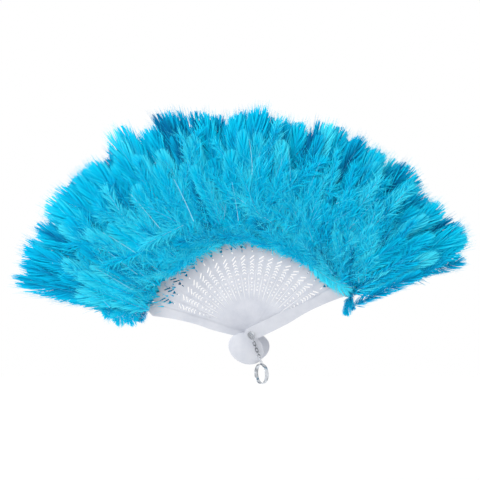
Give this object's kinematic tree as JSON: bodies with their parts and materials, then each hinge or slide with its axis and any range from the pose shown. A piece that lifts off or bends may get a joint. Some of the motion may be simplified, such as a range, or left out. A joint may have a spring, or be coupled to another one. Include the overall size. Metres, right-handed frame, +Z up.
{
  "type": "folding feather fan",
  "caption": "Folding hand fan with pierced white plastic sticks on a rivet, turquoise feather tufts along the edge, and a finger ring on a short chain.",
  "frame": {"origin": "centre of the rivet's flat back head, on the pivot axis", "axes": "+Z up along the open fan, -Y to the fan's front, +X to the right seen from the front"},
  "size_m": [0.4596, 0.0438, 0.2763],
  "materials": {
    "white_plastic": "moulded, slightly translucent, satin",
    "feather": "dyed soft feather",
    "plated_steel": "bright nickel plate"
  },
  "bodies": {
    "back_guard": {"back_guard": "white_plastic", "feathers_back_guard": "feather", "pivot_rivet": "plated_steel", "pivot_washer": "plated_steel"},
    "front_guard": {"front_guard": "white_plastic", "feathers_front_guard": "feather"},
    "stick_01": {"stick_01": "white_plastic", "feathers_01": "feather"},
    "stick_02": {"stick_02": "white_plastic", "feathers_02": "feather"},
    "stick_03": {"stick_03": "white_plastic", "feathers_03": "feather"},
    "stick_04": {"stick_04": "white_plastic", "feathers_04": "feather"},
    "stick_05": {"stick_05": "white_plastic", "feathers_05": "feather"},
    "stick_06": {"stick_06": "white_plastic", "feathers_06": "feather"},
    "stick_07": {"stick_07": "white_plastic", "feathers_07": "feather"},
    "stick_08": {"stick_08": "white_plastic", "feathers_08": "feather"},
    "stick_09": {"stick_09": "white_plastic", "feathers_09": "feather"},
    "stick_10": {"stick_10": "white_plastic", "feathers_10": "feather"},
    "stick_11": {"stick_11": "white_plastic", "feathers_11": "feather"},
    "stick_12": {"stick_12": "white_plastic", "feathers_12": "feather"},
    "stick_13": {"stick_13": "white_plastic", "feathers_13": "feather"},
    "stick_14": {"stick_14": "white_plastic", "feathers_14": "feather"},
    "stick_15": {"stick_15": "white_plastic", "feathers_15": "feather"},
    "stick_16": {"stick_16": "white_plastic", "feathers_16": "feather"},
    "stick_17": {"stick_17": "white_plastic", "feathers_17": "feather"},
    "stick_18": {"stick_18": "white_plastic", "feathers_18": "feather"},
    "stick_19": {"stick_19": "white_plastic", "feathers_19": "feather"},
    "jump_ring": {"jump_ring": "plated_steel"},
    "chain_link_1": {"chain_link_1": "plated_steel"},
    "chain_link_2": {"chain_link_2": "plated_steel"},
    "chain_link_3": {"chain_link_3": "plated_steel"},
    "chain_link_4": {"chain_link_4": "plated_steel"},
    "chain_link_5": {"chain_link_5": "plated_steel"},
    "chain_link_6": {"chain_link_6": "plated_steel"},
    "chain_link_7": {"chain_link_7": "plated_steel"},
    "finger_ring": {"finger_ring": "plated_steel"}
  },
  "joints": [
    {"name": "fan_fold", "type": "hinge", "parent": "back_guard", "child": "front_guard", "pos_m": [0, 0, 0], "axis": [0, -1, 0], "range_deg": [0, 140]},
    {"name": "stick_01_fold", "type": "hinge", "parent": "back_guard", "child": "stick_01", "pos_m": [0, 0, 0], "axis": [0, -1, 0], "range_deg": [0, 7]},
    {"name": "stick_02_fold", "type": "hinge", "parent": "back_guard", "child": "stick_02", "pos_m": [0, 0, 0], "axis": [0, -1, 0], "range_deg": [0, 14]},
    {"name": "stick_03_fold", "type": "hinge", "parent": "back_guard", "child": "stick_03", "pos_m": [0, 0, 0], "axis": [0, -1, 0], "range_deg": [0, 21]},
    {"name": "stick_04_fold", "type": "hinge", "parent": "back_guard", "child": "stick_04", "pos_m": [0, 0, 0], "axis": [0, -1, 0], "range_deg": [0, 28]},
    {"name": "stick_05_fold", "type": "hinge", "parent": "back_guard", "child": "stick_05", "pos_m": [0, 0, 0], "axis": [0, -1, 0], "range_deg": [0, 35]},
    {"name": "stick_06_fold", "type": "hinge", "parent": "back_guard", "child": "stick_06", "pos_m": [0, 0, 0], "axis": [0, -1, 0], "range_deg": [0, 42]},
    {"name": "stick_07_fold", "type": "hinge", "parent": "back_guard", "child": "stick_07", "pos_m": [0, 0, 0], "axis": [0, -1, 0], "range_deg": [0, 49]},
    {"name": "stick_08_fold", "type": "hinge", "parent": "back_guard", "child": "stick_08", "pos_m": [0, 0, 0], "axis": [0, -1, 0], "range_deg": [0, 56]},
    {"name": "stick_09_fold", "type": "hinge", "parent": "back_guard", "child": "stick_09", "pos_m": [0, 0, 0], "axis": [0, -1, 0], "range_deg": [0, 63]},
    {"name": "stick_10_fold", "type": "hinge", "parent": "back_guard", "child": "stick_10", "pos_m": [0, 0, 0], "axis": [0, -1, 0], "range_deg": [0, 70]},
    {"name": "stick_11_fold", "type": "hinge", "parent": "back_guard", "child": "stick_11", "pos_m": [0, 0, 0], "axis": [0, -1, 0], "range_deg": [0, 77]},
    {"name": "stick_12_fold", "type": "hinge", "parent": "back_guard", "child": "stick_12", "pos_m": [0, 0, 0], "axis": [0, -1, 0], "range_deg": [0, 84]},
    {"name": "stick_13_fold", "type": "hinge", "parent": "back_guard", "child": "stick_13", "pos_m": [0, 0, 0], "axis": [0, -1, 0], "range_deg": [0, 91]},
    {"name": "stick_14_fold", "type": "hinge", "parent": "back_guard", "child": "stick_14", "pos_m": [0, 0, 0], "axis": [0, -1, 0], "range_deg": [0, 98]},
    {"name": "stick_15_fold", "type": "hinge", "parent": "back_guard", "child": "stick_15", "pos_m": [0, 0, 0], "axis": [0, -1, 0], "range_deg": [0, 105]},
    {"name": "stick_16_fold", "type": "hinge", "parent": "back_guard", "child": "stick_16", "pos_m": [0, 0, 0], "axis": [0, -1, 0], "range_deg": [0, 112]},
    {"name": "stick_17_fold", "type": "hinge", "parent": "back_guard", "child": "stick_17", "pos_m": [0, 0, 0], "axis": [0, -1, 0], "range_deg": [0, 119]},
    {"name": "stick_18_fold", "type": "hinge", "parent": "back_guard", "child": "stick_18", "pos_m": [0, 0, 0], "axis": [0, -1, 0], "range_deg": [0, 126]},
    {"name": "stick_19_fold", "type": "hinge", "parent": "back_guard", "child": "stick_19", "pos_m": [0, 0, 0], "axis": [0, -1, 0], "range_deg": [0, 133]},
    {"name": "jump_ring_swing", "type": "hinge", "parent": "back_guard", "child": "jump_ring", "pos_m": [0.0006, -0.03415, -0.00164], "axis": [0, 1, 0], "range_deg": [-25, 25]},
    {"name": "link_1_swing", "type": "hinge", "parent": "jump_ring", "child": "chain_link_1", "pos_m": [0.00127, -0.03415, -0.00348], "axis": [0, 1, 0], "range_deg": [-8, 8]},
    {"name": "link_2_swing", "type": "hinge", "parent": "chain_link_1", "child": "chain_link_2", "pos_m": [0.00284, -0.03415, -0.0078], "axis": [0, 1, 0], "range_deg": [-8, 8]},
    {"name": "link_3_swing", "type": "hinge", "parent": "chain_link_2", "child": "chain_link_3", "pos_m": [0.00359, -0.03415, -0.00987], "axis": [0, 1, 0], "range_deg": [-8, 8]},
    {"name": "link_4_swing", "type": "hinge", "parent": "chain_link_3", "child": "chain_link_4", "pos_m": [0.00516, -0.03415, -0.01419], "axis": [0, 1, 0], "range_deg": [-8, 8]},
    {"name": "link_5_swing", "type": "hinge", "parent": "chain_link_4", "child": "chain_link_5", "pos_m": [0.00592, -0.03415, -0.01626], "axis": [0, 1, 0], "range_deg": [-8, 8]},
    {"name": "link_6_swing", "type": "hinge", "parent": "chain_link_5", "child": "chain_link_6", "pos_m": [0.00749, -0.03415, -0.02058], "axis": [0, 1, 0], "range_deg": [-8, 8]},
    {"name": "link_7_swing", "type": "hinge", "parent": "chain_link_6", "child": "chain_link_7", "pos_m": [0.00824, -0.03415, -0.02265], "axis": [0, 1, 0], "range_deg": [-8, 8]},
    {"name": "ring_swing", "type": "hinge", "parent": "chain_link_7", "child": "finger_ring", "pos_m": [0.00982, -0.03415, -0.02697], "axis": [0, 1, 0], "range_deg": [-12, 12]}
  ],
  "couplings": [
    {"joint": "stick_01_fold", "follows": "fan_fold", "ratio": 0.05},
    {"joint": "stick_02_fold", "follows": "fan_fold", "ratio": 0.1},
    {"joint": "stick_03_fold", "follows": "fan_fold", "ratio": 0.15},
    {"joint": "stick_04_fold", "follows": "fan_fold", "ratio": 0.2},
    {"joint": "stick_05_fold", "follows": "fan_fold", "ratio": 0.25},
    {"joint": "stick_06_fold", "follows": "fan_fold", "ratio": 0.3},
    {"joint": "stick_07_fold", "follows": "fan_fold", "ratio": 0.35},
    {"joint": "stick_08_fold", "follows": "fan_fold", "ratio": 0.4},
    {"joint": "stick_09_fold", "follows": "fan_fold", "ratio": 0.45},
    {"joint": "stick_10_fold", "follows": "fan_fold", "ratio": 0.5},
    {"joint": "stick_11_fold", "follows": "fan_fold", "ratio": 0.55},
    {"joint": "stick_12_fold", "follows": "fan_fold", "ratio": 0.6},
    {"joint": "stick_13_fold", "follows": "fan_fold", "ratio": 0.65},
    {"joint": "stick_14_fold", "follows": "fan_fold", "ratio": 0.7},
    {"joint": "stick_15_fold", "follows": "fan_fold", "ratio": 0.75},
    {"joint": "stick_16_fold", "follows": "fan_fold", "ratio": 0.8},
    {"joint": "stick_17_fold", "follows": "fan_fold", "ratio": 0.85},
    {"joint": "stick_18_fold", "follows": "fan_fold", "ratio": 0.9},
    {"joint": "stick_19_fold", "follows": "fan_fold", "ratio": 0.95}
  ]
}
